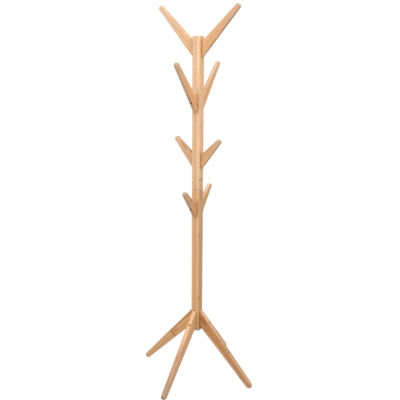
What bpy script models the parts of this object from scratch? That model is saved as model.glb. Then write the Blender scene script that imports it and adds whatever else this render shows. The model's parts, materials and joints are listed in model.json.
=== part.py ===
"""A standing coat rack of laminated bamboo.

A square post in two sections carries four crossed pairs of upswept hooks and four
splayed legs. Every hook and leg is a flat tapered board that stands edge-on against
the post, located by a wooden dowel and held by a socket-head bolt in a threaded insert.

Metres, +Z up. The origin is on the floor on the post's centre line; hook tiers 1 and 3
lie along X, tiers 2 and 4 along Y, and there is a leg on each side of the post.
"""

import math

import bmesh
import bpy
from mathutils import Matrix

# Post: a square bar with rounded long edges, divided between tiers 3 and 4
POST_SIDE = 0.040
POST_CORNER = 0.006
POST_BOTTOM = 0.230
POST_JOINT = 0.927
POST_TOP = 1.600
POST_END_ROUND = 0.0012

# Hooks: tier number, height of the seat's lower end, height of the seat itself, reach of
# the tip's centre from the post's face, and height of the tip's centre
HOOK_TIERS = (
    (1, 1.508, 0.078, 0.175, 1.725),
    (2, 1.265, 0.081, 0.160, 1.488),
    (3, 1.019, 0.076, 0.093, 1.156),
    (4, 0.789, 0.076, 0.094, 0.927),
)
HOOK_THICKNESS = 0.0165
HOOK_LEDGE = 0.010
HOOK_TIP = 0.019
HOOK_TIP_ROUND = 0.007
HOOK_BOLT_ABOVE_SEAT = 0.053
HOOK_DOWEL_BELOW_TOP = 0.012

# Legs
LEG_THICKNESS = 0.019
LEG_SEAT_BOTTOM = 0.2455
LEG_SEAT = 0.0895
LEG_LEDGE = 0.010
LEG_REACH = 0.279
FOOT_HEIGHT = 0.019
FOOT_LENGTH = 0.019
FOOT_TOE_ROUND = 0.006
FOOT_SOLE_ROUND = 0.004
LEG_BOLT_BELOW_TOP = 0.059
LEG_DOWEL_ABOVE_SEAT = 0.014

# Rounding of a board: its outline's corners, its inner corner and its long edges
CORNER_ROUND = 0.003
LEDGE_ROUND = 0.004
EDGE_ROUND = 0.0016

# Foot pad: a disc under the flat sole
PAD_RADIUS = 0.006
PAD_THICKNESS = 0.0015

# Bolt, its threaded insert and the locating dowel of each hook and leg
BOLT_RADIUS = 0.0025
BOLT_HEAD_RADIUS = 0.00425
BOLT_HEAD_HEIGHT = 0.005
BOLT_SOCKET_FLATS = 0.004
BOLT_SOCKET_DEPTH = 0.0025
BOLT_SEAT_OUT = 0.022
BOLT_DEPTH_IN_POST = 0.0115
INSERT_RADIUS = 0.0043
INSERT_LENGTH = 0.012
INSERT_RECESS = 0.0005
DOWEL_RADIUS = 0.003
DOWEL_HALF = 0.012
SMALL_CHAMFER = 0.0005

# Joint between the post's two sections: a stud in two larger inserts, and two dowels
STUD_RADIUS = 0.004
STUD_HALF = 0.022
JOINT_INSERT_RADIUS = 0.006
JOINT_INSERT_LENGTH = 0.018
JOINT_DOWEL_OFFSET = 0.0105

# Space left where pieces touch, and past the end of a blind hole
GAP = 0.0003
HOLE_END_ROOM = 0.001
CUT_PAST = 0.060

ARC_STEPS = 3
ROUND_STEPS = 12
SIDES = {"right": 0, "back": 90, "left": 180, "front": 270}
TIER_SIDES = {1: ("right", "left"), 2: ("front", "back"), 3: ("right", "left"), 4: ("front", "back")}

COLOURS = {
    "bamboo_post": ((0.72, 0.50, 0.29), 0.45, 0.0),
    "bamboo_hook": ((0.64, 0.38, 0.19), 0.45, 0.0),
    "bamboo_leg": ((0.50, 0.26, 0.12), 0.45, 0.0),
    "black_steel": ((0.03, 0.028, 0.026), 0.40, 1.0),
    "zinc": ((0.55, 0.56, 0.58), 0.35, 1.0),
    "dowel_wood": ((0.66, 0.48, 0.30), 0.70, 0.0),
    "pad_rubber": ((0.05, 0.045, 0.04), 0.80, 0.0),
}


def new_collection(name):
    collection = bpy.data.collections.new(name)
    bpy.context.scene.collection.children.link(collection)
    return collection


def material(name):
    """A Principled BSDF of its own for one part."""
    colour, roughness, metallic = COLOURS[name]
    made = bpy.data.materials.new(name)
    made.use_nodes = True
    shader = made.node_tree.nodes["Principled BSDF"]
    shader.inputs["Base Color"].default_value = (*colour, 1.0)
    shader.inputs["Roughness"].default_value = roughness
    shader.inputs["Metallic"].default_value = metallic
    return made


def add_object(name, mesh, matrix, collection):
    made = bpy.data.objects.new(name, mesh)
    made.matrix_world = matrix
    collection.objects.link(made)
    return made


def baked(source, welded=False):
    """The mesh of SOURCE with its modifiers applied; SOURCE is removed."""
    graph = bpy.context.evaluated_depsgraph_get()
    mesh = bpy.data.meshes.new_from_object(source.evaluated_get(graph))
    if welded:
        shape = bmesh.new()
        shape.from_mesh(mesh)
        bmesh.ops.remove_doubles(shape, verts=shape.verts, dist=1e-6)
        shape.to_mesh(mesh)
        shape.free()
    mesh.name = source.name
    bpy.data.objects.remove(source)
    return mesh


def rounded_outline(corners):
    """Points of a closed outline; each corner is (x, y, radius) and becomes an arc."""
    points = []
    count = len(corners)
    for i, (x, y, radius) in enumerate(corners):
        ways = []
        for near in (corners[i - 1], corners[(i + 1) % count]):
            length = math.hypot(near[0] - x, near[1] - y)
            ways.append(((near[0] - x) / length, (near[1] - y) / length))
        (ax, ay), (bx, by) = ways
        half = math.acos(max(-1.0, min(1.0, ax * bx + ay * by))) / 2
        mx, my = ax + bx, ay + by
        middle = math.hypot(mx, my)
        centre = (
            x + mx / middle * radius / math.sin(half),
            y + my / middle * radius / math.sin(half),
        )
        start = (x + ax * radius / math.tan(half), y + ay * radius / math.tan(half))
        end = (x + bx * radius / math.tan(half), y + by * radius / math.tan(half))
        first = math.atan2(start[1] - centre[1], start[0] - centre[0])
        turn = math.atan2(end[1] - centre[1], end[0] - centre[0]) - first
        turn = (turn + math.pi) % (2 * math.pi) - math.pi
        for step in range(ARC_STEPS + 1):
            angle = first + turn * step / ARC_STEPS
            points.append(
                (centre[0] + radius * math.cos(angle), centre[1] + radius * math.sin(angle))
            )
    return points


def flat_solid(name, points, thickness, edge_round):
    """A flat outline made solid: a filled 2D curve extruded, then its edges rounded."""
    curve = bpy.data.curves.new(name, "CURVE")
    curve.dimensions = "2D"
    curve.fill_mode = "BOTH"
    curve.extrude = thickness / 2
    spline = curve.splines.new("POLY")
    spline.points.add(len(points) - 1)
    for point, (x, y) in zip(spline.points, points):
        point.co = (x, y, 0, 1)
    spline.use_cyclic_u = True
    source = add_object(name, curve, Matrix(), bpy.context.scene.collection)
    mesh = baked(source, welded=True)
    bpy.data.curves.remove(curve)
    shape = bmesh.new()
    shape.from_mesh(mesh)
    bmesh.ops.dissolve_limit(shape, angle_limit=0.001, verts=shape.verts, edges=shape.edges)
    bmesh.ops.recalc_face_normals(shape, faces=shape.faces)
    shape.to_mesh(mesh)
    shape.free()
    solid = add_object(name, mesh, Matrix(), bpy.context.scene.collection)
    bevel = solid.modifiers.new("edges", "BEVEL")
    bevel.width = edge_round
    bevel.segments = 2
    bevel.limit_method = "ANGLE"
    bevel.angle_limit = math.radians(60)
    return baked(solid)


def turned_mesh(name, profile, closed=False, steps=ROUND_STEPS):
    """A turned solid about Z. PROFILE is (radius, height), running down the outer side."""
    mesh = bpy.data.meshes.new(name)
    last = len(profile) - 1
    edges = [(i, i + 1) for i in range(last)]
    if closed:
        edges.append((last, 0))
    mesh.from_pydata([(radius, 0, height) for radius, height in profile], edges, [])
    source = add_object(name, mesh, Matrix(), bpy.context.scene.collection)
    screw = source.modifiers.new("turn", "SCREW")
    screw.steps = steps
    screw.render_steps = steps
    screw.use_merge_vertices = True
    screw.merge_threshold = 1e-5
    made = baked(source)
    bpy.data.meshes.remove(mesh)
    return made


def plug_profile(radius, top, bottom, chamfer=0.0):
    """The profile of a plain pin between two heights."""
    if not chamfer:
        return [(0, top), (radius, top), (radius, bottom), (0, bottom)]
    return [
        (0, top),
        (radius - chamfer, top),
        (radius, top - chamfer),
        (radius, bottom + chamfer),
        (radius - chamfer, bottom),
        (0, bottom),
    ]


def sleeve_profile(outer, inner, top, bottom):
    """The closed profile of a threaded insert's plain envelope."""
    return [(outer, top), (outer, bottom), (inner, bottom), (inner, top)]


def cutter(name, mesh, matrix, collection):
    made = add_object(name, mesh, matrix, collection)
    made.hide_render = True
    made.display_type = "WIRE"
    return made


def cut(target, tool=None, tools=None):
    modifier = target.modifiers.new("hole", "BOOLEAN")
    modifier.operation = "DIFFERENCE"
    modifier.solver = "EXACT"
    if tools:
        modifier.operand_type = "COLLECTION"
        modifier.collection = tools
    else:
        modifier.object = tool


def finish(piece, finish_name):
    """Material, and smooth shading with the hard edges kept."""
    piece.data.materials.clear()
    piece.data.materials.append(material(finish_name))
    piece.data.shade_smooth()
    piece.data.set_sharp_from_angle(angle=math.radians(35))


def facing(side):
    """A frame on the post's face: local X points out of the post, local Z up."""
    turn = Matrix.Rotation(math.radians(SIDES[side]), 4, "Z")
    return turn @ Matrix.Translation((POST_SIDE / 2, 0, 0))


def along_normal(side, height):
    """A frame whose local Z points out of the post's face at this height."""
    return (
        facing(side)
        @ Matrix.Translation((0, 0, height))
        @ Matrix.Rotation(math.radians(90), 4, "Y")
    )


def hook_outline(seat_bottom, seat, reach, tip_height):
    """A hook in its own plane: x out of the post's face, y up."""
    seat_top = seat_bottom + seat
    rise = tip_height - (seat_bottom + seat_top) / 2
    length = math.hypot(reach, rise)
    across = (-rise / length * HOOK_TIP / 2, reach / length * HOOK_TIP / 2)
    return rounded_outline(
        [
            (GAP, seat_bottom, CORNER_ROUND),
            (GAP + reach - across[0], tip_height - across[1], HOOK_TIP_ROUND),
            (GAP + reach + across[0], tip_height + across[1], HOOK_TIP_ROUND),
            (HOOK_LEDGE, seat_top, LEDGE_ROUND),
            (GAP, seat_top, CORNER_ROUND),
        ]
    )


def leg_outline():
    """A leg in its own plane; its sole lies just above the foot pad."""
    sole = PAD_THICKNESS + GAP
    return rounded_outline(
        [
            (GAP, LEG_SEAT_BOTTOM, CORNER_ROUND),
            (LEG_LEDGE, LEG_SEAT_BOTTOM, LEDGE_ROUND),
            (LEG_REACH - FOOT_LENGTH, sole, CORNER_ROUND),
            (LEG_REACH, sole, FOOT_SOLE_ROUND),
            (LEG_REACH, FOOT_HEIGHT, FOOT_TOE_ROUND),
            (GAP, LEG_SEAT_BOTTOM + LEG_SEAT, CORNER_ROUND),
        ]
    )


def make_bolt_mesh():
    """Socket-head bolt; the head's underside is at height 0 and its shank runs down."""
    end = -(BOLT_SEAT_OUT + BOLT_DEPTH_IN_POST)
    profile = [
        (0, BOLT_HEAD_HEIGHT),
        (BOLT_HEAD_RADIUS - SMALL_CHAMFER, BOLT_HEAD_HEIGHT),
        (BOLT_HEAD_RADIUS, BOLT_HEAD_HEIGHT - SMALL_CHAMFER),
        (BOLT_HEAD_RADIUS, 0),
        (BOLT_RADIUS, 0),
        (BOLT_RADIUS, end + SMALL_CHAMFER),
        (BOLT_RADIUS - SMALL_CHAMFER, end),
        (0, end),
    ]
    scene_collection = bpy.context.scene.collection
    bolt = add_object("bolt", turned_mesh("bolt", profile), Matrix(), scene_collection)
    socket = bpy.data.meshes.new("socket")
    shape = bmesh.new()
    bmesh.ops.create_cone(
        shape,
        cap_ends=True,
        segments=6,
        radius1=BOLT_SOCKET_FLATS / math.sqrt(3),
        radius2=BOLT_SOCKET_FLATS / math.sqrt(3),
        depth=2 * BOLT_SOCKET_DEPTH,
        matrix=Matrix.Translation((0, 0, BOLT_HEAD_HEIGHT)),
    )
    shape.to_mesh(socket)
    shape.free()
    tool = cutter("socket", socket, Matrix(), scene_collection)
    cut(bolt, tool)
    mesh = baked(bolt)
    bpy.data.objects.remove(tool)
    return mesh


def make_hole_meshes():
    """Cutters about Z, out of the post's face: a board's bolt hole and the dowel and
    insert holes."""
    clear = GAP + BOLT_RADIUS
    board_bolt = turned_mesh(
        "board_bolt_hole",
        [
            (0, CUT_PAST),
            (BOLT_HEAD_RADIUS + GAP, CUT_PAST),
            (BOLT_HEAD_RADIUS + GAP, BOLT_SEAT_OUT - GAP),
            (clear, BOLT_SEAT_OUT - GAP),
            (clear, -CUT_PAST / 10),
            (0, -CUT_PAST / 10),
        ],
    )
    dowel = turned_mesh(
        "dowel_hole",
        plug_profile(
            DOWEL_RADIUS + GAP, DOWEL_HALF + HOLE_END_ROOM, -DOWEL_HALF - HOLE_END_ROOM
        ),
    )
    insert_end = -(INSERT_RECESS + INSERT_LENGTH + GAP)
    insert = turned_mesh(
        "insert_hole", plug_profile(INSERT_RADIUS + GAP, CUT_PAST / 10, insert_end)
    )
    return board_bolt, dowel, insert


def post_section(name, bottom, top, cutters, parts):
    half = POST_SIDE / 2
    square = [(half, half), (-half, half), (-half, -half), (half, -half)]
    outline = rounded_outline([(x, y, POST_CORNER) for x, y in square])
    mesh = flat_solid(name, outline, top - bottom, POST_END_ROUND)
    section = add_object(
        name, mesh, Matrix.Translation((0, 0, (bottom + top) / 2)), parts
    )
    cut(section, tools=cutters)
    finish(section, "bamboo_post")


def fixed_board(name, side, points, thickness, bolt_height, dowel_height, kind, made):
    """One hook or leg with its bolt, insert and dowel, and its holes in the post."""
    upright = Matrix.Rotation(math.radians(90), 4, "X")
    board = add_object(
        name,
        flat_solid(name, points, thickness, EDGE_ROUND),
        facing(side) @ upright,
        made["parts"],
    )
    at_bolt = along_normal(side, bolt_height)
    at_dowel = along_normal(side, dowel_height)
    bolt_tool = cutter(f"cut_bolt_{name}", made["board_bolt"], at_bolt, made["cutters"])
    dowel_tool = cutter(f"cut_dowel_{name}", made["dowel_hole"], at_dowel, made["cutters"])
    cut(board, bolt_tool)
    cut(board, dowel_tool)
    finish(board, kind)

    section = made["upper_tools"] if bolt_height > POST_JOINT else made["lower_tools"]
    cutter(f"cut_insert_{name}", made["insert_hole"], at_bolt, section)
    section.objects.link(dowel_tool)

    out = Matrix.Translation((0, 0, BOLT_SEAT_OUT))
    finish(add_object(f"bolt_{name}", made["bolt"].copy(), at_bolt @ out, made["parts"]), "black_steel")
    finish(add_object(f"insert_{name}", made["insert"].copy(), at_bolt, made["parts"]), "zinc")
    finish(add_object(f"dowel_{name}", made["dowel"].copy(), at_dowel, made["parts"]), "dowel_wood")


def post_joint(made):
    """The stud, inserts and dowels between the post's sections, and their holes."""
    at_joint = Matrix.Translation((0, 0, POST_JOINT))
    stud = turned_mesh("stud", plug_profile(STUD_RADIUS, STUD_HALF, -STUD_HALF, SMALL_CHAMFER))
    finish(add_object("post_joint_stud", stud, at_joint, made["parts"]), "zinc")
    far = INSERT_RECESS + JOINT_INSERT_LENGTH
    for where, sign, tools in (("upper", 1, made["upper_tools"]), ("lower", -1, made["lower_tools"])):
        flip = Matrix.Rotation(math.radians(0 if sign > 0 else 180), 4, "X")
        name = f"post_joint_insert_{where}"
        sleeve = turned_mesh(
            name,
            sleeve_profile(JOINT_INSERT_RADIUS, STUD_RADIUS + GAP, far, INSERT_RECESS),
            closed=True,
        )
        finish(add_object(name, sleeve, at_joint @ flip, made["parts"]), "zinc")
        hole = turned_mesh(
            f"cut_{name}",
            [
                (0, STUD_HALF + HOLE_END_ROOM),
                (STUD_RADIUS + GAP, STUD_HALF + HOLE_END_ROOM),
                (STUD_RADIUS + GAP, far + GAP),
                (JOINT_INSERT_RADIUS + GAP, far + GAP),
                (JOINT_INSERT_RADIUS + GAP, -HOLE_END_ROOM),
                (0, -HOLE_END_ROOM),
            ],
        )
        cutter(f"cut_{name}", hole, at_joint @ flip, tools)
    for label, sign in (("a", 1), ("b", -1)):
        offset = sign * JOINT_DOWEL_OFFSET
        place = Matrix.Translation((offset, offset, POST_JOINT))
        name = f"post_joint_dowel_{label}"
        finish(add_object(name, made["dowel"].copy(), place, made["parts"]), "dowel_wood")
        tool = cutter(f"cut_{name}", made["dowel_hole"], place, made["upper_tools"])
        made["lower_tools"].objects.link(tool)


def foot_pad(side, parts):
    name = f"pad_{side}"
    disc = turned_mesh(name, plug_profile(PAD_RADIUS, PAD_THICKNESS, 0))
    middle = LEG_REACH - (FOOT_LENGTH + FOOT_SOLE_ROUND) / 2
    place = facing(side) @ Matrix.Translation((middle, 0, 0))
    finish(add_object(name, disc, place, parts), "pad_rubber")


def main():
    for leftover in list(bpy.data.objects):
        bpy.data.objects.remove(leftover)

    board_bolt, dowel_hole, insert_hole = make_hole_meshes()
    insert_top, insert_end = -INSERT_RECESS, -INSERT_RECESS - INSERT_LENGTH
    made = {
        "parts": new_collection("standing_coat_rack"),
        "cutters": new_collection("cutters"),
        "upper_tools": new_collection("cutters_post_upper"),
        "lower_tools": new_collection("cutters_post_lower"),
        "bolt": make_bolt_mesh(),
        "insert": turned_mesh(
            "insert",
            sleeve_profile(INSERT_RADIUS, BOLT_RADIUS + GAP, insert_top, insert_end),
            closed=True,
        ),
        "dowel": turned_mesh(
            "dowel", plug_profile(DOWEL_RADIUS, DOWEL_HALF, -DOWEL_HALF, SMALL_CHAMFER)
        ),
        "board_bolt": board_bolt,
        "dowel_hole": dowel_hole,
        "insert_hole": insert_hole,
    }

    for tier, seat_bottom, seat, reach, tip_height in HOOK_TIERS:
        points = hook_outline(seat_bottom, seat, reach, tip_height)
        bolt_height = seat_bottom + HOOK_BOLT_ABOVE_SEAT
        dowel_height = seat_bottom + seat - HOOK_DOWEL_BELOW_TOP
        for side in TIER_SIDES[tier]:
            fixed_board(
                f"hook_{tier}_{side}", side, points, HOOK_THICKNESS,
                bolt_height, dowel_height, "bamboo_hook", made,
            )
    for side in SIDES:
        fixed_board(
            f"leg_{side}", side, leg_outline(), LEG_THICKNESS,
            LEG_SEAT_BOTTOM + LEG_SEAT - LEG_BOLT_BELOW_TOP,
            LEG_SEAT_BOTTOM + LEG_DOWEL_ABOVE_SEAT, "bamboo_leg", made,
        )
        foot_pad(side, made["parts"])
    post_joint(made)
    post_section(
        "post_lower", POST_BOTTOM, POST_JOINT - GAP / 2, made["lower_tools"], made["parts"]
    )
    post_section(
        "post_upper", POST_JOINT + GAP / 2, POST_TOP, made["upper_tools"], made["parts"]
    )


main()
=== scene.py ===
"""The looks of a standing coat rack of laminated bamboo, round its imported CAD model.

Every wooden board, both sections of the post, the bolts and the foot pads are made again
here at the CAD sizes, with finer arcs and edges; the pieces inside the wood stay as the
CAD has them. Metres, +Z up, in the CAD model's frame.
"""

import json
import math

import bmesh
import bpy
from mathutils import Matrix, Vector

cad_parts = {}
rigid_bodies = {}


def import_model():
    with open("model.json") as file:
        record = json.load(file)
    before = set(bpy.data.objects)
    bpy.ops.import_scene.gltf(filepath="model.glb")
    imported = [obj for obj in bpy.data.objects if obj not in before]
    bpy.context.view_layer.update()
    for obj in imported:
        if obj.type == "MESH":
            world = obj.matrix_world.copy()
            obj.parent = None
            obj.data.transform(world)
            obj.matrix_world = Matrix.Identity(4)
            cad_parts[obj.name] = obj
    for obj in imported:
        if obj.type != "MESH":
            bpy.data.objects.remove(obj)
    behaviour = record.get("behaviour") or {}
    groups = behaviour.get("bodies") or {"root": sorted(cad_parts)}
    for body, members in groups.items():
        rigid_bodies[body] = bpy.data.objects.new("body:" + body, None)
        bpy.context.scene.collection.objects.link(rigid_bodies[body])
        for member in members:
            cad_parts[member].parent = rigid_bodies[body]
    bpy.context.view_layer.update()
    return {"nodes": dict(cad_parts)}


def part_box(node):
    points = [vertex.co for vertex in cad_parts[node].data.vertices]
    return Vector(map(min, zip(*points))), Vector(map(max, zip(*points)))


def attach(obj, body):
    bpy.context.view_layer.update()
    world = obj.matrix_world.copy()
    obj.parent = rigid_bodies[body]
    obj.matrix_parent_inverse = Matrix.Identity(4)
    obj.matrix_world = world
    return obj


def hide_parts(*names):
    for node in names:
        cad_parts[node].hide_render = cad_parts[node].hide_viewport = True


# Camera: turned about Z from the -Y side, its distance from the post and its height
CAMERA_AZIMUTH = 30.66
CAMERA_DISTANCE = 2.716
CAMERA_HEIGHT = 1.558
CAMERA_DOWN = 14.158
CAMERA_PAN = 0.246
CAMERA_ROLL = 0.387
CAMERA_LENS = 54.9
SENSOR = 36.0

# Post
POST_CORNER = 0.006
POST_END_ROUND = 0.0012

# Hooks: tier, height of the seat's lower end, height of the seat itself, reach of the
# tip's centre from the post's face, and height of the tip's centre
HOOK_TIERS = (
    (1, 1.508, 0.078, 0.175, 1.725),
    (2, 1.265, 0.081, 0.160, 1.488),
    (3, 1.019, 0.076, 0.093, 1.156),
    (4, 0.789, 0.076, 0.094, 0.927),
)
HOOK_LEDGE = 0.010
HOOK_TIP = 0.019
HOOK_TIP_ROUND = 0.007
HOOK_BOLT_ABOVE_SEAT = 0.053
HOOK_DOWEL_BELOW_TOP = 0.012

# Legs
LEG_SEAT_BOTTOM = 0.2455
LEG_SEAT = 0.0895
LEG_LEDGE = 0.010
LEG_REACH = 0.279
FOOT_HEIGHT = 0.019
FOOT_LENGTH = 0.019
FOOT_TOE_ROUND = 0.006
FOOT_SOLE_ROUND = 0.004
LEG_BOLT_BELOW_TOP = 0.059
LEG_DOWEL_ABOVE_SEAT = 0.014
LEG_BOLT_HEIGHT = LEG_SEAT_BOTTOM + LEG_SEAT - LEG_BOLT_BELOW_TOP
LEG_DOWEL_HEIGHT = LEG_SEAT_BOTTOM + LEG_DOWEL_ABOVE_SEAT

# Rounding of a board
CORNER_ROUND = 0.003
LEDGE_ROUND = 0.004
EDGE_ROUND = 0.0016
RIM_ROUND = 0.0006

# Bolts, dowels and the joint between the post's sections
BOLT_RADIUS = 0.0025
BOLT_HEAD_RADIUS = 0.00425
BOLT_HEAD_HEIGHT = 0.005
BOLT_SOCKET_FLATS = 0.004
BOLT_SOCKET_DEPTH = 0.0025
BOLT_SEAT_OUT = 0.022
BOLT_DEPTH_IN_POST = 0.0115
INSERT_RADIUS = 0.0043
INSERT_LENGTH = 0.012
INSERT_RECESS = 0.0005
DOWEL_RADIUS = 0.003
DOWEL_HALF = 0.012
STUD_RADIUS = 0.004
STUD_HALF = 0.022
JOINT_INSERT_RADIUS = 0.006
JOINT_INSERT_LENGTH = 0.018
JOINT_DOWEL_OFFSET = 0.0105
GAP = 0.0003
HOLE_END_ROOM = 0.001
CUT_PAST = 0.060
CUT_JUST_PAST = CUT_PAST / 10

# Fineness of the meshes; angles in degrees
ARC_STEPS = 10
EDGE_STEPS = 5
ROUND_STEPS = 48
RIM_STEPS = 3
SMOOTH_BELOW = 35
RIM_SHARPER_THAN = 20
ON_RIM_WITHIN = 0.00001
MERGE_WITHIN = 0.00003

# Laminated bamboo: strips this wide, in layers this thick
STRIP_WIDTH = 0.021
LAYER = 0.006
LEG_LAYER = 0.0052
# How far the middle seam of the post lies from the centre, along X
POST_SEAM = 0.0015
# Each board's number, which sets its own grain: the hooks' and the legs' run on from these
FIRST_HOOK_NUMBER = 1
FIRST_LEG_NUMBER = 11
POST_NUMBERS = {"post_upper": 21, "post_lower": 22}

# Light: what the lamps face, and the world's strength from below and from above
LAMPS_FACE_HEIGHT = 0.9
LIGHT_FROM_BELOW = 0.68
LIGHT_FROM_ABOVE = 0.44

SIDES = {"right": 0, "back": 90, "left": 180, "front": 270}
TIER_SIDES = {1: ("right", "left"), 2: ("front", "back"), 3: ("right", "left"), 4: ("front", "back")}


# ---------------------------------------------------------------- shader nodes


class Nodes:
    """A material's node tree, filled by short calls."""

    def __init__(self, name):
        self.material = bpy.data.materials.new(name)
        self.material.use_nodes = True
        self.tree = self.material.node_tree
        self.shader = self.tree.nodes["Principled BSDF"]

    def join(self, value, socket):
        if isinstance(value, bpy.types.NodeSocket):
            self.tree.links.new(value, socket)
        else:
            socket.default_value = value

    def put(self, kind, inputs=None, **settings):
        node = self.tree.nodes.new("ShaderNode" + kind)
        for key, value in settings.items():
            setattr(node, key, value)
        for key, value in (inputs or {}).items():
            self.join(value, node.inputs[key])
        return node

    def maths(self, operation, *values):
        return self.put("Math", dict(enumerate(values)), operation=operation).outputs[0]

    def add(self, a, b):
        return self.maths("ADD", a, b)

    def less(self, a, b):
        return self.maths("SUBTRACT", a, b)

    def times(self, a, b):
        return self.maths("MULTIPLY", a, b)

    def vector(self, x, y, z):
        return self.put("CombineXYZ", {0: x, 1: y, 2: z}).outputs[0]

    def parts(self, vector):
        return self.put("SeparateXYZ", {0: vector}).outputs

    def attribute(self, name, output="Vector"):
        return self.put("Attribute", attribute_name=name).outputs[output]

    def noise(self, vector, scale=1.0, detail=2.0, roughness=0.5):
        inputs = {"Vector": vector, "Scale": scale, "Detail": detail, "Roughness": roughness}
        return self.put("TexNoise", inputs).outputs[0]

    def ramp(self, value, low, high, start=0.0, end=1.0):
        """VALUE's way from LOW to HIGH, smoothed, as START to END."""
        inputs = {"Value": value, "From Min": low, "From Max": high, "To Min": start, "To Max": end}
        return self.put("MapRange", inputs, interpolation_type="SMOOTHSTEP").outputs[0]

    def mix(self, share, first, second):
        node = self.put("Mix", data_type="RGBA")
        for value, socket in ((share, 0), (first, 6), (second, 7)):
            self.join(value, node.inputs[socket])
        return node.outputs[2]

    def bump(self, height, distance, strength=1.0):
        inputs = {"Height": height, "Distance": distance, "Strength": strength}
        return self.put("Bump", inputs).outputs[0]

    def turned_to(self, normal, axis):
        """How squarely a surface faces along AXIS, either way: from 0 to 1."""
        node = self.put("VectorMath", {0: normal, 1: axis}, operation="DOT_PRODUCT")
        return self.maths("ABSOLUTE", node.outputs["Value"])

    def surface(self, **sockets):
        """Sets the shader's sockets; a socket's name has _ for each space."""
        for name, value in sockets.items():
            self.join(value, self.shader.inputs[name.replace("_", " ")])
        return self.material


def srgb(red, green, blue):
    """A colour from its 0 to 255 values, as the linear colour that the shader takes."""

    def linear(value):
        value /= 255
        return value / 12.92 if value <= 0.04045 else ((value + 0.055) / 1.055) ** 2.4

    return (linear(red), linear(green), linear(blue), 1.0)


# ---------------------------------------------------------------- materials

# How far along the grain a culm's nodes lie from each other
NODE_SPACING = 0.310

# Tones that a wood's own tones turn towards in places
ROSE = srgb(236, 164, 136)
GOLD = srgb(226, 176, 96)
ORANGE = srgb(190, 108, 50)
RED_BROWN = srgb(150, 78, 42)
DARK = srgb(74, 44, 26)
PALE = srgb(232, 204, 172)
GREY_TAN = srgb(198, 170, 140)
END_GRAIN = srgb(156, 142, 122)
# Pale tone of the rounded edges: partly rubbed wear, partly a painted highlight
RUBBED_AND_HIGHLIGHT = srgb(246, 226, 198)

# Each wood: two tones that its strips lie between, how much its strips differ by chance,
# the tone of its streaks and of its nodes and how much they show, how its tone leans
# across the strips and through the layers (per metre), how much rose and gold it has, the
# colour and share that it fades to at a board's far end and has on a board's narrow edges,
# how much its rounded edges are paled, partly as rubbed wear and partly as a painted
# highlight, how dark the line between its strips is, and the thickness and phase of its
# layers
WOODS = {
    "post_upper": dict(
        light=srgb(246, 204, 168), dark=srgb(216, 180, 136), spread=0.3, streak=srgb(196, 142, 96),
        node=srgb(104, 66, 36), streaks=0.25, nodes=0.3, leans=(22.0, -5.0), rose=0.25, gold=0.3,
        far=(PALE, 0.0), narrow=(srgb(196, 150, 114), 0.30), rubbed_and_highlight=0.0, line=1.0, layer=LAYER,
        phase=0.5,
    ),
    "post_lower": dict(
        light=srgb(240, 188, 134), dark=srgb(208, 170, 126), spread=0.3, streak=srgb(184, 126, 80),
        node=srgb(104, 66, 36), streaks=0.3, nodes=0.4, leans=(22.0, -16.0), rose=0.1, gold=0.25,
        far=(PALE, 0.0), narrow=(srgb(168, 128, 100), 0.42), rubbed_and_highlight=0.0, line=1.0, layer=LAYER,
        phase=0.5,
    ),
    "hook": dict(
        light=srgb(232, 184, 130), dark=srgb(208, 154, 100), spread=0.5, streak=srgb(190, 124, 70),
        node=srgb(118, 76, 40), streaks=0.75, nodes=0.4, leans=(0.0, 0.0), rose=0.25, gold=0.3,
        far=(GREY_TAN, 0.5), narrow=(srgb(212, 190, 164), 0.25), rubbed_and_highlight=0.2, line=0.45, layer=LAYER,
        phase=0.5,
    ),
    "leg_gold": dict(
        light=srgb(236, 188, 128), dark=srgb(218, 158, 98), spread=0.6, streak=srgb(176, 110, 60),
        node=srgb(112, 66, 34), streaks=0.8, nodes=0.5, leans=(0.0, 0.0), rose=0.15, gold=0.35,
        far=(GREY_TAN, 0.35), narrow=(srgb(204, 172, 140), 0.3), rubbed_and_highlight=0.2, line=0.45,
        layer=LEG_LAYER, phase=0.0,
    ),
    "leg_orange": dict(
        light=srgb(222, 166, 110), dark=srgb(200, 138, 82), spread=0.6, streak=srgb(168, 98, 50),
        node=srgb(104, 58, 30), streaks=0.8, nodes=0.4, leans=(0.0, 0.0), rose=0.1, gold=0.25,
        far=(GREY_TAN, 0.3), narrow=(srgb(196, 168, 140), 0.4), rubbed_and_highlight=0.2, line=0.45,
        layer=LEG_LAYER, phase=0.0,
    ),
    "leg_fading": dict(
        light=srgb(238, 190, 140), dark=srgb(220, 170, 118), spread=0.6, streak=srgb(178, 112, 66),
        node=srgb(112, 66, 36), streaks=0.75, nodes=0.3, leans=(0.0, 0.0), rose=0.15, gold=0.35,
        far=(GREY_TAN, 0.35), narrow=(srgb(204, 172, 140), 0.2), rubbed_and_highlight=0.2, line=0.45,
        layer=LEG_LAYER, phase=0.0,
    ),
}

# The legs that aren't of the wood leg_gold
BOARD_WOODS = {"leg_right": "leg_orange", "leg_front": "leg_fading"}
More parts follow.
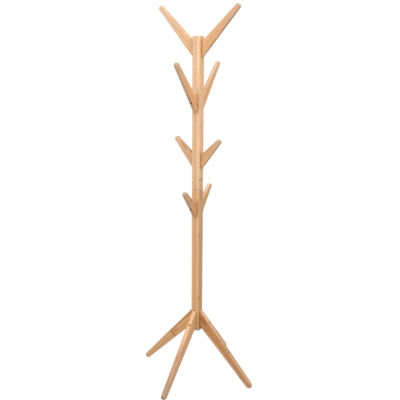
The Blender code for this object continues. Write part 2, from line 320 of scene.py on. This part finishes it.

# Marks in a board's wood, and a few painted shades where a board lies in shade: its place
# (along, across, through), half its length, half its width, its share and its colour
MARKS_AND_PAINTED_SHADES = {
    "post_upper": (
        ((0.972, 0.020, -0.014), 0.012, 0.0060, 1.00, DARK),
        ((0.972, 0.020, 0.001), 0.012, 0.0060, 1.00, DARK),
        ((0.944, 0.020, -0.009), 0.011, 0.0060, 0.90, DARK),
        ((1.2125, 0.020, -0.012), 0.012, 0.0070, 0.45, RED_BROWN),
    ),
    "post_lower": (
        ((0.898, 0.020, -0.002), 0.055, 0.0100, 0.55, ORANGE),
        ((0.705, 0.019, -0.017), 0.016, 0.0080, 0.45, RED_BROWN),
        ((0.400, 0.019, -0.017), 0.014, 0.0080, 0.45, RED_BROWN),
    ),
    "hook_1_right": (
        ((0.080, 0.000, 0.000), 0.500, 0.5000, 0.14, ORANGE),
        # painted shade: the lower edge and underside, from the middle to the tip, darkened as if in
        # shade
        ((0.190, -0.0175, 0.002), 0.120, 0.0100, 0.90, RED_BROWN),
    ),
    "hook_1_left": (
        ((0.080, 0.000, 0.000), 0.500, 0.5000, 0.18, PALE),
        ((0.250, 0.020, 0.000), 0.300, 0.0170, 0.45, DARK),
    ),
    "hook_2_back": (
        ((0.080, 0.000, 0.000), 0.500, 0.5000, 0.10, GREY_TAN),
        ((0.250, 0.020, 0.000), 0.300, 0.0170, 0.40, DARK),
    ),
    "hook_3_right": (
        # painted shade: the lower edge and underside darkened as if in shade
        ((0.100, -0.0160, 0.002), 0.060, 0.0095, 0.80, RED_BROWN),
    ),
    "hook_3_left": (
        ((0.080, 0.000, 0.000), 0.500, 0.5000, 0.20, PALE),
        ((0.080, 0.010, -0.008), 0.040, 0.0110, 0.60, ORANGE),
    ),
    "hook_4_front": (
        ((0.080, 0.000, 0.000), 0.500, 0.5000, 0.16, RED_BROWN),
    ),
    "hook_4_back": (
        ((0.080, 0.000, 0.000), 0.500, 0.5000, 0.06, DARK),
    ),
    "leg_right": (
        # painted shadow: the post's shadow and the corner's shade darken the leg's front face next
        # to the post
        ((0.020, 0.012, 0.009), 0.050, 0.0180, 0.35, RED_BROWN),
        ((0.220, 0.004, 0.009), 0.190, 0.0080, 0.42, ORANGE),
        ((0.200, -0.018, 0.009), 0.200, 0.0070, 0.60, PALE),
        ((0.030, 0.034, 0.000), 0.140, 0.0150, 0.50, PALE),
        ((0.335, -0.010, 0.009), 0.010, 0.0050, 0.80, DARK),
    ),
    "leg_back": (
        ((0.150, 0.000, 0.000), 0.500, 0.5000, 0.25, PALE),
    ),
    "leg_left": (
        ((0.160, 0.000, -0.009), 0.0070, 0.0400, 0.75, RED_BROWN),
        ((0.133, 0.006, -0.009), 0.030, 0.0150, 0.50, ORANGE),
    ),
    "leg_front": (
        ((0.340, 0.024, 0.000), 0.260, 0.0190, 0.70, RED_BROWN),
        ((0.300, 0.017, 0.003), 0.110, 0.0045, 0.45, RED_BROWN),
        ((0.400, 0.020, 0.000), 0.150, 0.0220, 0.45, DARK),
    ),
}


def bamboo(
    name, light, dark, spread, streak, node, streaks, nodes, leans, rose, gold, far, narrow,
    rubbed_and_highlight, line, layer, phase,
):
    """Laminated bamboo under a thin satin lacquer. The attribute "grain" holds a point's
    place in the board, along the fibres, across the strips and through the layers, "reach"
    how far along the board it is, and "piece" the board's number."""
    n = Nodes("bamboo_" + name)
    grain = n.attribute("grain")
    seed = n.attribute("piece", "Fac")
    along, across, through = n.parts(grain)

    def stretched(u_scale, v_scale, shift, detail=2.0):
        """Noise drawn out along the fibres; SHIFT is a strip's own offset along them."""
        scaled = (n.times(shift, u_scale), n.times(across, v_scale), n.times(through, v_scale))
        return n.noise(n.vector(*scaled), detail=detail)

    # The strip that a point lies in, and three random numbers of that strip's own
    strip_place = n.maths("DIVIDE", across, STRIP_WIDTH)
    layer_place = n.add(n.maths("DIVIDE", through, layer), phase)
    strip = n.maths("FLOOR", strip_place)
    ply = n.maths("FLOOR", layer_place)
    own = n.put("TexWhiteNoise", {"Vector": n.vector(strip, ply, seed)}, noise_dimensions="3D")
    chance = n.parts(own.outputs["Color"])
    by_piece = n.add(along, n.times(seed, 3.7))
    by_strip = n.add(by_piece, n.times(chance[1], 11.0))

    # Tone: each strip's own, leaning across the board, and drifting slowly along it
    drift = n.ramp(stretched(4.0, 30.0, by_strip), 0.3, 0.7, 0.0, 0.9 - spread)
    tone = n.add(n.times(chance[0], spread), drift)
    tone = n.add(tone, n.add(n.times(strip, -leans[0] * STRIP_WIDTH), n.times(through, -leans[1])))
    colour = n.mix(n.put("Clamp", {"Value": tone}).outputs[0], light, dark)

    # Patches of a warmer and of a yellower wood, as natural and steamed culms differ
    patches = stretched(7.0, 22.0, n.add(by_piece, n.times(chance[1], 0.6)), detail=1.0)
    colour = n.mix(n.ramp(patches, 0.50, 0.72, 0.0, rose), colour, ROSE)
    colour = n.mix(n.ramp(patches, 0.50, 0.28, 0.0, gold), colour, GOLD)

    # Streaks that run with the fibres, broad ones and fine ones
    broad = stretched(2.2, 150.0, by_strip)
    colour = n.mix(n.ramp(broad, 0.50, 0.74, 0.0, streaks), colour, streak)
    fine = stretched(6.0, 640.0, by_strip)
    colour = n.mix(n.ramp(fine, 0.48, 0.72, 0.0, 0.20), colour, streak)
    bundles = stretched(26.0, 2200.0, by_strip, detail=1.0)
    colour = n.mix(n.ramp(bundles, 0.56, 0.70, 0.0, 0.25), colour, streak)

    # Nodes of the culm: a thin dark line across the strip in a soft shade
    wander = stretched(8.0, 160.0, along)
    turn = n.add(n.maths("DIVIDE", along, NODE_SPACING), n.add(chance[1], n.times(seed, 0.37)))
    from_node = n.times(n.less(n.maths("FRACT", turn), 0.5), NODE_SPACING)
    from_node = n.maths("ABSOLUTE", n.add(from_node, n.ramp(wander, 0.3, 0.7, -0.0016, 0.0016)))
    strength = n.times(n.ramp(chance[2], 0.35, 1.0), nodes)
    ridge = n.times(n.ramp(from_node, 0.0006, 0.0022, 1.0, 0.0), strength)
    shade = n.times(n.ramp(from_node, 0.002, 0.012, 0.45, 0.0), strength)
    colour = n.mix(n.maths("MAXIMUM", ridge, shade), colour, node)

    # Glue lines, in the darker edges of the strips and of the layers
    glue = None
    for place, width, soft, share in (
        (strip_place, STRIP_WIDTH, 0.0028, line),
        (layer_place, layer, 0.0012, 0.22),
    ):
        from_middle = n.maths("ABSOLUTE", n.less(n.maths("FRACT", place), 0.5))
        away = n.times(n.less(0.5, from_middle), width)
        colour = n.mix(n.ramp(away, 0.0, soft, share, 0.0), colour, streak)
        seam = n.ramp(away, 0.0001, 0.0005, 1.0, 0.0)
        glue = seam if glue is None else n.maths("MAXIMUM", glue, seam)
    colour = n.mix(n.times(glue, 0.5), colour, node)

    # The far end's own colour
    far_colour, far_share = far
    reach = n.attribute("reach", "Fac")
    colour = n.mix(n.ramp(reach, 0.05, 1.0, 0.0, far_share), colour, far_colour)

    # The board's own marks and its painted shades, with edges that waver
    waver = n.ramp(fine, 0.3, 0.7, 0.85, 1.25)
    for place, half_length, half_width, share, tint in MARKS_AND_PAINTED_SHADES.get(name, ()):
        offset = n.put("VectorMath", {0: grain, 1: place}, operation="SUBTRACT").outputs[0]
        shrink = (1 / half_length, 1 / half_width, 1 / half_width)
        scaled = n.put("VectorMath", {0: offset, 1: shrink}, operation="MULTIPLY").outputs[0]
        apart = n.put("VectorMath", {0: scaled}, operation="LENGTH").outputs["Value"]
        colour = n.mix(n.ramp(n.times(apart, waver), 0.3, 1.0, share, 0.0), colour, tint)

    # The narrow edges have their own tone, the rounded ones are paler (partly rubbed wear, partly a
    # painted highlight), end grain is greyer
    normal = n.put("NewGeometry").outputs["Normal"]
    ends, flats = (n.turned_to(normal, n.attribute(axis)) for axis in ("fibre_axis", "layer_axis"))
    narrow_colour, narrow_share = narrow
    colour = n.mix(n.ramp(flats, 0.3, 0.7, narrow_share, 0.0), colour, narrow_colour)
    # Rounded edges paled: partly rubbed wear, partly a painted highlight where edges catch light
    edge = n.times(n.ramp(flats, 0.15, 0.6), n.ramp(flats, 0.75, 0.98, 1.0, 0.0))
    colour = n.mix(n.times(edge, n.ramp(broad, 0.35, 0.65, 0.25 * rubbed_and_highlight, rubbed_and_highlight)), colour, RUBBED_AND_HIGHLIGHT)
    colour = n.mix(n.ramp(ends, 0.40, 0.85, 0.0, 0.85), colour, END_GRAIN)

    raised = n.add(n.times(fine, 0.5), n.times(bundles, 0.3))
    sunk = n.add(n.times(glue, 0.4), n.times(ridge, 0.6))
    return n.surface(
        Base_Color=colour,
        Roughness=n.ramp(fine, 0.35, 0.7, 0.36, 0.50),
        Normal=n.bump(n.less(raised, sunk), 0.0002, 0.35),
        Specular_IOR_Level=0.35,
        Coat_Weight=0.12,
        Coat_Roughness=0.28,
    )


def black_steel():
    """Black oxide on a bolt, slightly uneven in tone and gloss."""
    n = Nodes("black_oxide_steel")
    place = n.put("TexCoord").outputs["Object"]
    cloud = n.noise(place, 900.0, 4.0, 0.6)
    grit = n.noise(place, 5200.0, 2.0)
    colour = n.mix(n.ramp(cloud, 0.35, 0.75), srgb(34, 31, 29), srgb(66, 60, 55))
    return n.surface(
        Base_Color=colour,
        Metallic=0.85,
        Roughness=n.ramp(cloud, 0.3, 0.7, 0.38, 0.55),
        Normal=n.bump(grit, 0.00005, 0.4),
    )


def zinc():
    """Zinc plate, slightly clouded, with a fine grit."""
    n = Nodes("zinc_plate")
    place = n.put("TexCoord").outputs["Object"]
    cloud = n.noise(place, 420.0, 3.0)
    grit = n.noise(place, 3600.0, 2.0)
    colour = n.mix(n.ramp(cloud, 0.3, 0.7), srgb(186, 190, 194), srgb(206, 205, 196))
    return n.surface(
        Base_Color=colour,
        Metallic=1.0,
        Roughness=n.ramp(cloud, 0.3, 0.7, 0.26, 0.40),
        Normal=n.bump(grit, 0.00004, 0.5),
    )


def dowel_wood():
    """Plain pale wood with a fine mottling and darker flecks."""
    n = Nodes("beech_dowel")
    place = n.put("TexCoord").outputs["Object"]
    mottling = n.noise(place, 1500.0, 3.0)
    flecks = n.noise(place, 520.0, 1.0)
    colour = n.mix(n.ramp(mottling, 0.35, 0.7), srgb(222, 190, 148), srgb(204, 166, 120))
    colour = n.mix(n.ramp(flecks, 0.6, 0.72, 0.0, 0.5), colour, srgb(168, 122, 80))
    return n.surface(
        Base_Color=colour,
        Roughness=n.ramp(mottling, 0.3, 0.7, 0.62, 0.78),
        Normal=n.bump(mottling, 0.0001, 0.4),
    )


def pad_rubber():
    """Dark moulded rubber with a fine stipple."""
    n = Nodes("pad_rubber_moulded")
    place = n.put("TexCoord").outputs["Object"]
    stipple = n.noise(place, 2600.0, 2.0)
    dust = n.noise(place, 240.0, 3.0)
    colour = n.mix(n.ramp(dust, 0.4, 0.75), srgb(46, 42, 38), srgb(78, 72, 66))
    return n.surface(
        Base_Color=colour,
        Roughness=n.ramp(dust, 0.3, 0.7, 0.70, 0.85),
        Normal=n.bump(stipple, 0.0001, 0.5),
    )


# ---------------------------------------------------------------- meshes


def add_object(name, data):
    made = bpy.data.objects.new(name, data)
    bpy.context.scene.collection.objects.link(made)
    return made


def baked(source):
    """The mesh of SOURCE with its modifiers applied; SOURCE is removed."""
    graph = bpy.context.evaluated_depsgraph_get()
    mesh = bpy.data.meshes.new_from_object(source.evaluated_get(graph))
    bpy.data.objects.remove(source)
    return mesh


def rounded_outline(corners):
    """(point, outward direction) pairs round an outline that runs anticlockwise. Each
    corner is (x, y, radius) and becomes an arc."""
    points = []
    count = len(corners)
    for i, (x, y, radius) in enumerate(corners):
        corner = Vector((x, y))
        back = (Vector(corners[i - 1][:2]) - corner).normalized()
        ahead = (Vector(corners[(i + 1) % count][:2]) - corner).normalized()
        half = back.angle(ahead) / 2
        centre = corner + (back + ahead).normalized() * radius / math.sin(half)
        start = corner + back * radius / math.tan(half) - centre
        end = corner + ahead * radius / math.tan(half) - centre
        bulges = ahead.cross(back) > 0
        turn = start.angle_signed(end)
        for step in range(ARC_STEPS + 1):
            spoke = start.copy()
            spoke.rotate(Matrix.Rotation(-turn * step / ARC_STEPS, 2))
            points.append((centre + spoke, spoke.normalized() * (1 if bulges else -1)))
    return points


def rounded_solid(name, outline, half, edge_round):
    """The outline made solid between the heights -HALF and HALF, its edges rounded."""
    rings = []
    for step in range(EDGE_STEPS + 1):
        angle = math.pi / 2 * step / EDGE_STEPS
        rings.append((edge_round * (1 - math.sin(angle)), half - edge_round * (1 - math.cos(angle))))
    rings = [(inset, -height) for inset, height in rings] + rings[::-1]
    shape = bmesh.new()
    loops = [
        [shape.verts.new((*(point - outward * inset), height)) for point, outward in outline]
        for inset, height in rings
    ]
    count = len(outline)
    for low, high in zip(loops, loops[1:]):
        for i in range(count):
            j = (i + 1) % count
            shape.faces.new((low[i], low[j], high[j], high[i]))
    shape.faces.new(reversed(loops[0]))
    shape.faces.new(loops[-1])
    mesh = bpy.data.meshes.new(name)
    shape.to_mesh(mesh)
    shape.free()
    return mesh


def turned_mesh(name, profile, steps=ROUND_STEPS):
    """A turned solid about Z. PROFILE is (radius, height), running down the outer side."""
    shape = bmesh.new()
    rings = []
    for radius, height in profile:
        if radius == 0:
            rings.append([shape.verts.new((0, 0, height))] * steps)
            continue
        turns = (2 * math.pi * step / steps for step in range(steps))
        rings.append(
            [shape.verts.new((radius * math.cos(a), radius * math.sin(a), height)) for a in turns]
        )
    for high, low in zip(rings, rings[1:]):
        for i in range(steps):
            j = (i + 1) % steps
            corners = dict.fromkeys((high[i], low[i], low[j], high[j]))
            shape.faces.new(corners)
    mesh = bpy.data.meshes.new(name)
    shape.to_mesh(mesh)
    shape.free()
    return mesh


def arc(centre, radius, first, last):
    """Points of a profile's arc between two angles in degrees."""
    angles = (
        math.radians(first + (last - first) * i / EDGE_STEPS) for i in range(EDGE_STEPS + 1)
    )
    return [(centre[0] + radius * math.cos(a), centre[1] + radius * math.sin(a)) for a in angles]


def plug(radius, top, bottom):
    """A plain cylinder's profile."""
    return [(0, top), (radius, top), (radius, bottom), (0, bottom)]


def dowel_tool():
    """Cuts a dowel's hole into both of the pieces that it joins."""
    end = DOWEL_HALF + HOLE_END_ROOM
    return turned_mesh("dowel_tool", plug(DOWEL_RADIUS + GAP, end, -end))


def merge_near_points(mesh):
    """Merges the points that a cut leaves too close together, with the slivers between them."""
    shape = bmesh.new()
    shape.from_mesh(mesh)
    bmesh.ops.remove_doubles(shape, verts=shape.verts, dist=MERGE_WITHIN)
    bmesh.ops.dissolve_degenerate(shape, edges=shape.edges, dist=MERGE_WITHIN)
    shape.to_mesh(mesh)
    shape.free()


def cut_mesh(mesh, tools):
    """MESH with the meshes of TOOLS, each (mesh, matrix), cut from it."""
    target = add_object(mesh.name, mesh)
    holes = bpy.data.collections.new("tools")
    for tool, matrix in tools:
        cutter = bpy.data.objects.new("tool", tool)
        cutter.matrix_world = matrix
        holes.objects.link(cutter)
    bpy.context.scene.collection.children.link(holes)
    modifier = target.modifiers.new("holes", "BOOLEAN")
    modifier.operation = "DIFFERENCE"
    modifier.solver = "EXACT"
    modifier.operand_type = "COLLECTION"
    modifier.collection = holes
    made = baked(target)
    for cutter in list(holes.objects):
        bpy.data.objects.remove(cutter)
    bpy.data.collections.remove(holes)
    merge_near_points(made)
    return made


def soften_rim(mesh, axis, radius, beyond, width):
    """Rounds the edge where a round hole about AXIS (a matrix whose Z is the hole's line)
    meets the surface, further out than BEYOND."""
    shape = bmesh.new()
    shape.from_mesh(mesh)
    into = axis.inverted()

    def on_rim(vertex):
        place = into @ vertex.co
        return abs(math.hypot(place.x, place.y) - radius) < ON_RIM_WITHIN and place.z > beyond

    rim = [
        edge
        for edge in shape.edges
        if all(map(on_rim, edge.verts))
        and len(edge.link_faces) == 2
        and edge.calc_face_angle() > math.radians(RIM_SHARPER_THAN)
    ]
    bmesh.ops.bevel(
        shape, geom=rim, offset=width, offset_type="OFFSET", segments=RIM_STEPS,
        profile=0.5, affect="EDGES", clamp_overlap=True,
    )
    shape.to_mesh(mesh)
    shape.free()


def facing(side):
    """A frame on the post's face: local X points out of the post, local Z up."""
    turn = Matrix.Rotation(math.radians(SIDES[side]), 4, "Z")
    return turn @ Matrix.Translation((POST_HALF, 0, 0))


def out_of_post(height):
    """In a board's own plane, a frame whose Z points out of the post at this height."""
    return Matrix.Translation((0, height, 0)) @ Matrix.Rotation(math.radians(90), 4, "Y")


def along_normal(side, height):
    """The same frame in the model's own space."""
    turn = Matrix.Rotation(math.radians(90), 4, "Y")
    return facing(side) @ Matrix.Translation((0, 0, height)) @ turn


# ---------------------------------------------------------------- pieces

UPRIGHT = Matrix.Rotation(math.radians(90), 4, "X")


def add_piece(name, mesh, node, material):
    """A finished piece that stands for one CAD node."""
    mesh.materials.clear()
    mesh.materials.append(material)
    mesh.shade_smooth()
    mesh.set_sharp_from_angle(angle=math.radians(SMOOTH_BELOW))
    piece = add_object(name, mesh)
    weighted = piece.modifiers.new("flat faces stay flat", "WEIGHTED_NORMAL")
    weighted.keep_sharp = True
    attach(piece, "root")
    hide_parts(node)


def give_grain(mesh, grain, length, number):
    """Stores each point's place in the board, how far it is along the board's LENGTH, the
    board's number and its axes. GRAIN is the board's frame: X along the fibres, Y across
    the strips and Z through the layers."""
    into = grain.inverted()
    turn = grain.to_3x3()
    count = len(mesh.vertices)
    places = [into @ vertex.co for vertex in mesh.vertices]
    vectors = {
        "grain": places,
        "fibre_axis": [turn @ Vector((1, 0, 0))] * count,
        "layer_axis": [turn @ Vector((0, 0, 1))] * count,
    }
    for name, values in vectors.items():
        attribute = mesh.attributes.new(name, "FLOAT_VECTOR", "POINT")
        attribute.data.foreach_set("vector", [part for value in values for part in value])
    numbers = {"piece": [float(number)] * count, "reach": [place.x / length for place in places]}
    for name, values in numbers.items():
        attribute = mesh.attributes.new(name, "FLOAT", "POINT")
        attribute.data.foreach_set("value", values)


def hook_corners(seat_bottom, seat, reach, tip_height):
    """A hook's outline in its own plane: x out of the post's face, y up."""
    seat_top = seat_bottom + seat
    rise = tip_height - (seat_bottom + seat_top) / 2
    length = math.hypot(reach, rise)
    across = (-rise / length * HOOK_TIP / 2, reach / length * HOOK_TIP / 2)
    return [
        (GAP, seat_bottom, CORNER_ROUND),
        (GAP + reach - across[0], tip_height - across[1], HOOK_TIP_ROUND),
        (GAP + reach + across[0], tip_height + across[1], HOOK_TIP_ROUND),
        (HOOK_LEDGE, seat_top, LEDGE_ROUND),
        (GAP, seat_top, CORNER_ROUND),
    ]


def leg_corners(sole):
    """A leg's outline in its own plane; SOLE is the height of its underside."""
    return [
        (GAP, LEG_SEAT_BOTTOM, CORNER_ROUND),
        (LEG_LEDGE, LEG_SEAT_BOTTOM, LEDGE_ROUND),
        (LEG_REACH - FOOT_LENGTH, sole, CORNER_ROUND),
        (LEG_REACH, sole, FOOT_SOLE_ROUND),
        (LEG_REACH, FOOT_HEIGHT, FOOT_TOE_ROUND),
        (GAP, LEG_SEAT_BOTTOM + LEG_SEAT, CORNER_ROUND),
    ]


def board_mesh(name, corners, half, bolt_height, dowel_height):
    """A board in its own plane, with its counterbored bolt hole and its dowel hole."""
    mesh = rounded_solid(name, rounded_outline(corners), half, EDGE_ROUND)
    head = BOLT_HEAD_RADIUS + GAP
    clear = BOLT_RADIUS + GAP
    bolt_tool = turned_mesh(
        "bolt_tool",
        [
            (0, CUT_PAST),
            (head, CUT_PAST),
            (head, BOLT_SEAT_OUT - GAP),
            (clear, BOLT_SEAT_OUT - GAP),
            (clear, -CUT_JUST_PAST),
            (0, -CUT_JUST_PAST),
        ],
    )
    at_bolt = out_of_post(bolt_height)
    made = cut_mesh(mesh, [(bolt_tool, at_bolt), (dowel_tool(), out_of_post(dowel_height))])
    soften_rim(made, at_bolt, head, BOLT_SEAT_OUT + GAP, RIM_ROUND)
    return made


def add_board(node, side, mesh, start, end, wood, number):
    """Puts a copy of the board on one side of the post. Its fibres run from START to END,
    two points in the board's own plane."""
    run = Vector(end) - Vector(start)
    place = facing(side) @ UPRIGHT
    turn = Matrix.Rotation(math.atan2(run.y, run.x), 4, "Z")
    grain = place @ Matrix.Translation((*start, 0)) @ turn
    own = mesh.copy()
    own.transform(place)
    give_grain(own, grain, run.length, number)
    add_piece(f"{node}_wood", own, node, bamboo(node, **WOODS[wood]))


def add_hooks():
    number = FIRST_HOOK_NUMBER
    half = (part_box("hook_1_right")[1].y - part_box("hook_1_right")[0].y) / 2
    for tier, seat_bottom, seat, reach, tip_height in HOOK_TIERS:
        mesh = board_mesh(
            f"hook_{tier}", hook_corners(seat_bottom, seat, reach, tip_height), half,
            seat_bottom + HOOK_BOLT_ABOVE_SEAT, seat_bottom + seat - HOOK_DOWEL_BELOW_TOP,
        )
        start = (GAP, seat_bottom + seat / 2)
        for side in TIER_SIDES[tier]:
            node = f"hook_{tier}_{side}"
            add_board(node, side, mesh, start, (reach, tip_height), "hook", number)
            number += 1


def add_legs():
    half = (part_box("leg_right")[1].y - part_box("leg_right")[0].y) / 2
    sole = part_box("leg_right")[0].z
    mesh = board_mesh(
        "leg", leg_corners(sole), half, LEG_BOLT_HEIGHT, LEG_DOWEL_HEIGHT,
    )
    start = (GAP, LEG_SEAT_BOTTOM + LEG_SEAT / 2)
    end = (LEG_REACH - FOOT_LENGTH / 2, FOOT_HEIGHT / 2)
    for number, side in enumerate(SIDES, FIRST_LEG_NUMBER):
        wood = BOARD_WOODS.get(f"leg_{side}", "leg_gold")
        add_board(f"leg_{side}", side, mesh, start, end, wood, number)


def joint_tools(joint):
    """What the joint of the post's two sections cuts from them: for the stud, the two
    inserts and the two dowels."""
    far = INSERT_RECESS + JOINT_INSERT_LENGTH + GAP
    hole = turned_mesh(
        "stud_tool",
        [
            (0, STUD_HALF + HOLE_END_ROOM),
            (STUD_RADIUS + GAP, STUD_HALF + HOLE_END_ROOM),
            (STUD_RADIUS + GAP, far),
            (JOINT_INSERT_RADIUS + GAP, far),
            (JOINT_INSERT_RADIUS + GAP, -HOLE_END_ROOM),
            (0, -HOLE_END_ROOM),
        ],
    )
    dowel = dowel_tool()
    at_joint = Matrix.Translation((0, 0, joint))
    dowels = [
        (dowel, Matrix.Translation((sign * JOINT_DOWEL_OFFSET, sign * JOINT_DOWEL_OFFSET, joint)))
        for sign in (1, -1)
    ]
    flip = Matrix.Rotation(math.pi, 4, "X")
    return [(hole, at_joint), *dowels], [(hole, at_joint @ flip), *dowels]


def board_tools(lowest, highest):
    """The insert and dowel holes of every board that is fixed between two heights."""
    insert_end = -(INSERT_RECESS + INSERT_LENGTH + GAP)
    insert = turned_mesh("insert_tool", plug(INSERT_RADIUS + GAP, CUT_JUST_PAST, insert_end))
    dowel = dowel_tool()
    fixed = [
        (side, bottom + HOOK_BOLT_ABOVE_SEAT, bottom + seat - HOOK_DOWEL_BELOW_TOP)
        for tier, bottom, seat, _, _ in HOOK_TIERS
        for side in TIER_SIDES[tier]
    ]
    fixed += [(side, LEG_BOLT_HEIGHT, LEG_DOWEL_HEIGHT) for side in SIDES]
    tools = []
    for side, bolt_height, dowel_height in fixed:
        if lowest < bolt_height < highest:
            tools.append((insert, along_normal(side, bolt_height)))
            tools.append((dowel, along_normal(side, dowel_height)))
    return tools


def add_post():
    joint = (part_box("post_lower")[1].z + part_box("post_upper")[0].z) / 2
    upper_joint, lower_joint = joint_tools(joint)
    square = [(1, 1), (-1, 1), (-1, -1), (1, -1)]
    outline = rounded_outline([(x * POST_HALF, y * POST_HALF, POST_CORNER) for x, y in square])
    # Fibres run up the post, strips lie side by side along X, and layers are stacked along Y
    grain = Matrix(((0, 1, 0, POST_SEAM), (0, 0, 1, 0), (1, 0, 0, 0), (0, 0, 0, 1)))
    for node, tools in (("post_upper", upper_joint), ("post_lower", lower_joint)):
        low, high = (corner.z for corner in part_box(node))
        mesh = rounded_solid(node, outline, (high - low) / 2, POST_END_ROUND)
        mesh.transform(Matrix.Translation((0, 0, (high + low) / 2)))
        mesh = cut_mesh(mesh, tools + board_tools(low, high))
        give_grain(mesh, grain, high, POST_NUMBERS[node])
        add_piece(f"{node}_wood", mesh, node, bamboo(node, **WOODS[node]))


def bolt_mesh():
    """A socket-head bolt with rounded rims; the head's underside is at height 0."""
    end = -(BOLT_SEAT_OUT + BOLT_DEPTH_IN_POST)
    rim, tip = 0.0007, 0.0005
    top = BOLT_HEAD_HEIGHT
    profile = [
        (0, top),
        *arc((BOLT_HEAD_RADIUS - rim, top - rim), rim, 90, 0),
        (BOLT_HEAD_RADIUS, 0),
        (BOLT_RADIUS, 0),
        (BOLT_RADIUS, end + tip),
        (BOLT_RADIUS - tip, end),
        (0, end),
    ]
    mesh = turned_mesh("bolt", profile)
    corner = BOLT_SOCKET_FLATS / math.sqrt(3)
    lead = 0.0003
    socket = turned_mesh(
        "socket",
        [
            (0, top + lead),
            (corner + 2 * lead, top + lead),
            (corner, top - lead),
            (corner, top - BOLT_SOCKET_DEPTH),
            (0, top - BOLT_SOCKET_DEPTH - lead),
        ],
        steps=6,
    )
    return cut_mesh(mesh, [(socket, Matrix())])


def add_bolts(material):
    mesh = bolt_mesh()
    fixed = [
        (f"hook_{tier}_{side}", side, bottom + HOOK_BOLT_ABOVE_SEAT)
        for tier, bottom, _, _, _ in HOOK_TIERS
        for side in TIER_SIDES[tier]
    ]
    fixed += [(f"leg_{side}", side, LEG_BOLT_HEIGHT) for side in SIDES]
    for board, side, height in fixed:
        own = mesh.copy()
        own.transform(along_normal(side, height) @ Matrix.Translation((0, 0, BOLT_SEAT_OUT)))
        add_piece(f"bolt_{board}_steel", own, f"bolt_{board}", material)


def add_pads(material):
    """Foot pads: turned discs with rounded rims."""
    low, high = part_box("pad_right")
    radius, top = (high.y - low.y) / 2, high.z
    soft = top / 3
    profile = [
        (0, top),
        *arc((radius - soft, top - soft), soft, 90, 0),
        *arc((radius - soft, soft), soft, 0, -90),
        (0, 0),
    ]
    mesh = turned_mesh("pad", profile)
    for side in SIDES:
        low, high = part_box(f"pad_{side}")
        own = mesh.copy()
        own.transform(Matrix.Translation(((low.x + high.x) / 2, (low.y + high.y) / 2, 0)))
        add_piece(f"pad_{side}_rubber", own, f"pad_{side}", material)


def finish_inner_nodes(nodes):
    """Materials for the CAD nodes that stay as they are."""
    steel, wood = zinc(), dowel_wood()
    for name, node in nodes.items():
        if name.startswith(("insert_", "post_joint_stud", "post_joint_insert")):
            material, slot = steel, "zinc"
        elif name.startswith(("dowel_", "post_joint_dowel")):
            material, slot = wood, "dowel_wood"
        else:
            continue
        node.data.materials.clear()
        node.data.materials.append(material)


# ---------------------------------------------------------------- stage


def add_camera():
    camera = bpy.data.cameras.new("camera")
    camera.sensor_width = SENSOR
    camera.lens = CAMERA_LENS
    camera.clip_start, camera.clip_end = 0.05, 100
    made = add_object("camera", camera)
    turns = {
        "stand": Matrix.Rotation(math.radians(CAMERA_AZIMUTH), 4, "Z"),
        "pan": Matrix.Rotation(math.radians(-CAMERA_PAN), 4, "Z"),
        "tilt": Matrix.Rotation(math.radians(90 - CAMERA_DOWN), 4, "X"),
        "roll": Matrix.Rotation(math.radians(CAMERA_ROLL), 4, "Z"),
    }
    back = Matrix.Translation((0, -CAMERA_DISTANCE, CAMERA_HEIGHT))
    made.matrix_world = turns["stand"] @ back @ turns["pan"] @ turns["tilt"] @ turns["roll"]
    bpy.context.scene.camera = made


def add_lamp(name, azimuth, elevation, distance, size, power):
    """A square soft light that faces the middle of the rack."""
    target = Vector((0, 0, LAMPS_FACE_HEIGHT))
    turn, rise = math.radians(azimuth), math.radians(elevation)
    away = Vector(
        (math.sin(turn) * math.cos(rise), -math.cos(turn) * math.cos(rise), math.sin(rise))
    )
    lamp = bpy.data.lights.new(name, "AREA")
    lamp.size = size
    lamp.energy = power
    made = add_object(name, lamp)
    made.location = target + away * distance
    made.rotation_mode = "QUATERNION"
    made.rotation_quaternion = away.to_track_quat("Z", "Y")


def add_world():
    """White behind the object, and a soft light that is stronger from below, as a pale floor would
    give.
    """
    world = bpy.data.worlds.new("studio")
    bpy.context.scene.world = world
    world.use_nodes = True
    nodes, links = world.node_tree.nodes, world.node_tree.links
    backdrop = nodes["Background"]
    backdrop.inputs["Color"].default_value = (1, 1, 1, 1)
    light = nodes.new("ShaderNodeBackground")
    direction = nodes.new("ShaderNodeTexCoord")
    split = nodes.new("ShaderNodeSeparateXYZ")
    fade = nodes.new("ShaderNodeMapRange")
    fade.interpolation_type = "SMOOTHSTEP"
    horizon = {"From Min": -0.25, "From Max": 0.25}
    strengths = {"To Min": LIGHT_FROM_BELOW, "To Max": LIGHT_FROM_ABOVE}
    for name, value in (horizon | strengths).items():
        fade.inputs[name].default_value = value
    seen = nodes.new("ShaderNodeLightPath")
    mix = nodes.new("ShaderNodeMixShader")
    links.new(direction.outputs["Generated"], split.inputs[0])
    links.new(split.outputs["Z"], fade.inputs["Value"])
    links.new(fade.outputs[0], light.inputs["Strength"])
    links.new(seen.outputs["Is Camera Ray"], mix.inputs[0])
    links.new(light.outputs[0], mix.inputs[1])
    links.new(backdrop.outputs[0], mix.inputs[2])
    links.new(mix.outputs[0], nodes["World Output"].inputs["Surface"])


# ---------------------------------------------------------------- scene

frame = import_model()
POST_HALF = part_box("post_upper")[1].x

add_camera()
add_world()
add_lamp("key", azimuth=-32, elevation=17, distance=3.4, size=2.2, power=60)
add_lamp("fill", azimuth=78, elevation=45, distance=3.2, size=2.4, power=82)
add_lamp("rear", azimuth=-155, elevation=8, distance=3.4, size=2.2, power=45)
add_lamp("top", azimuth=0, elevation=89, distance=5.0, size=3.6, power=150)

add_post()
add_hooks()
add_legs()
add_bolts(black_steel())
add_pads(pad_rubber())
finish_inner_nodes(frame["nodes"])

bpy.context.scene.view_settings.view_transform = "Standard"
